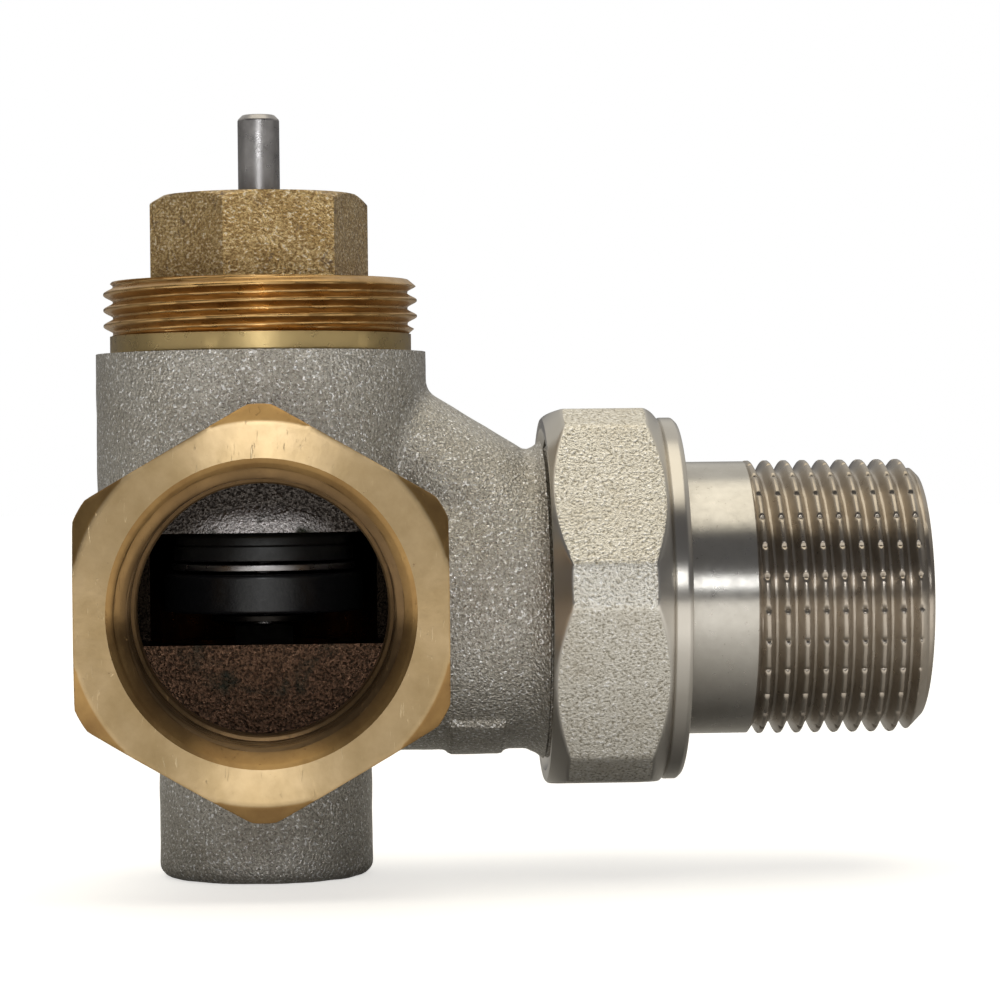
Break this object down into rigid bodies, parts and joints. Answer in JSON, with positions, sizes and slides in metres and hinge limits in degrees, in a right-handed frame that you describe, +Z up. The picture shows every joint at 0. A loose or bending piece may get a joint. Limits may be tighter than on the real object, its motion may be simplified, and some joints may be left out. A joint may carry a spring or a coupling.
{
  "type": "thermostatic radiator valve",
  "caption": "Double-angle thermostatic radiator valve without its head: threaded hex inlet, union nut with threaded tail, and a sprung pressure pin.",
  "frame": {"origin": "the point where the axes of the inlet, the outlet and the valve spindle cross", "axes": "+X out of the union tail to the radiator, -Y out of the inlet socket, +Z up the spindle to the pressure pin"},
  "size_m": [0.0798, 0.0453, 0.0728],
  "materials": {
    "plated_casting": "blasted and nickel-plated cast brass, fine sparkling grain, grey with brown stains",
    "turned_brass": "machined bare brass with fine turning rings, dull tan-gold",
    "thread_brass": "machined bare brass, warm gold threads and tarnished hexagon",
    "nickel_plate": "nickel-plated brass, satin faces and brightly polished round surfaces",
    "stainless": "ground stainless steel",
    "spring_steel": "drawn spring steel wire and strip",
    "black_rubber": "matt black moulded rubber",
    "black_plastic": "satin black moulded plastic",
    "guide_plastic": "off-white low-friction plastic",
    "sealing_fibre": "pressed grey-green sealing fibre",
    "copper": "soft copper sealing ring"
  },
  "bodies": {
    "root": {"valve_body": "plated_casting", "inlet_socket": "turned_brass", "inlet_gasket": "copper", "bonnet": "thread_brass", "bonnet_o_ring": "black_rubber", "gland_cartridge": "turned_brass", "gland_outer_o_ring": "black_rubber", "gland_inner_o_ring": "black_rubber", "gland_washer": "guide_plastic", "guide_bush": "guide_plastic", "bush_snap_ring": "spring_steel", "return_spring": "spring_steel", "union_seal": "sealing_fibre"},
    "pin": {"pressure_pin": "stainless"},
    "spindle": {"valve_spindle": "stainless", "spring_cup": "turned_brass", "spindle_clip": "spring_steel", "disc_holder": "black_plastic", "disc_backing_plate": "stainless", "seal_disc": "black_rubber", "disc_washer": "stainless", "disc_nut": "stainless"},
    "tail": {"tailpiece": "nickel_plate"},
    "nut": {"union_nut": "nickel_plate"}
  },
  "joints": [
    {"name": "spindle_slide", "type": "slide", "parent": "root", "child": "spindle", "axis": [0, 0, -1], "range_m": [0, 0.0026], "stiffness_N_per_m": 8000, "springref_m": -0.004, "deforming": ["return_spring"]},
    {"name": "pin_press", "type": "slide", "parent": "root", "child": "pin", "axis": [0, 0, -1], "range_m": [0, 0.0026]},
    {"name": "tail_slide", "type": "slide", "parent": "root", "child": "tail", "axis": [1, 0, 0], "range_m": [0, 0.008]},
    {"name": "nut_turn", "type": "hinge", "parent": "tail", "child": "nut", "pos_m": [0.0333, 0, 0], "axis": [1, 0, 0], "range_deg": [0, 1920]}
  ],
  "couplings": [
    {"joint": "pin_press", "follows": "spindle_slide", "ratio": 1},
    {"joint": "nut_turn", "follows": "tail_slide", "rad_per_m": 4188.8}
  ]
}
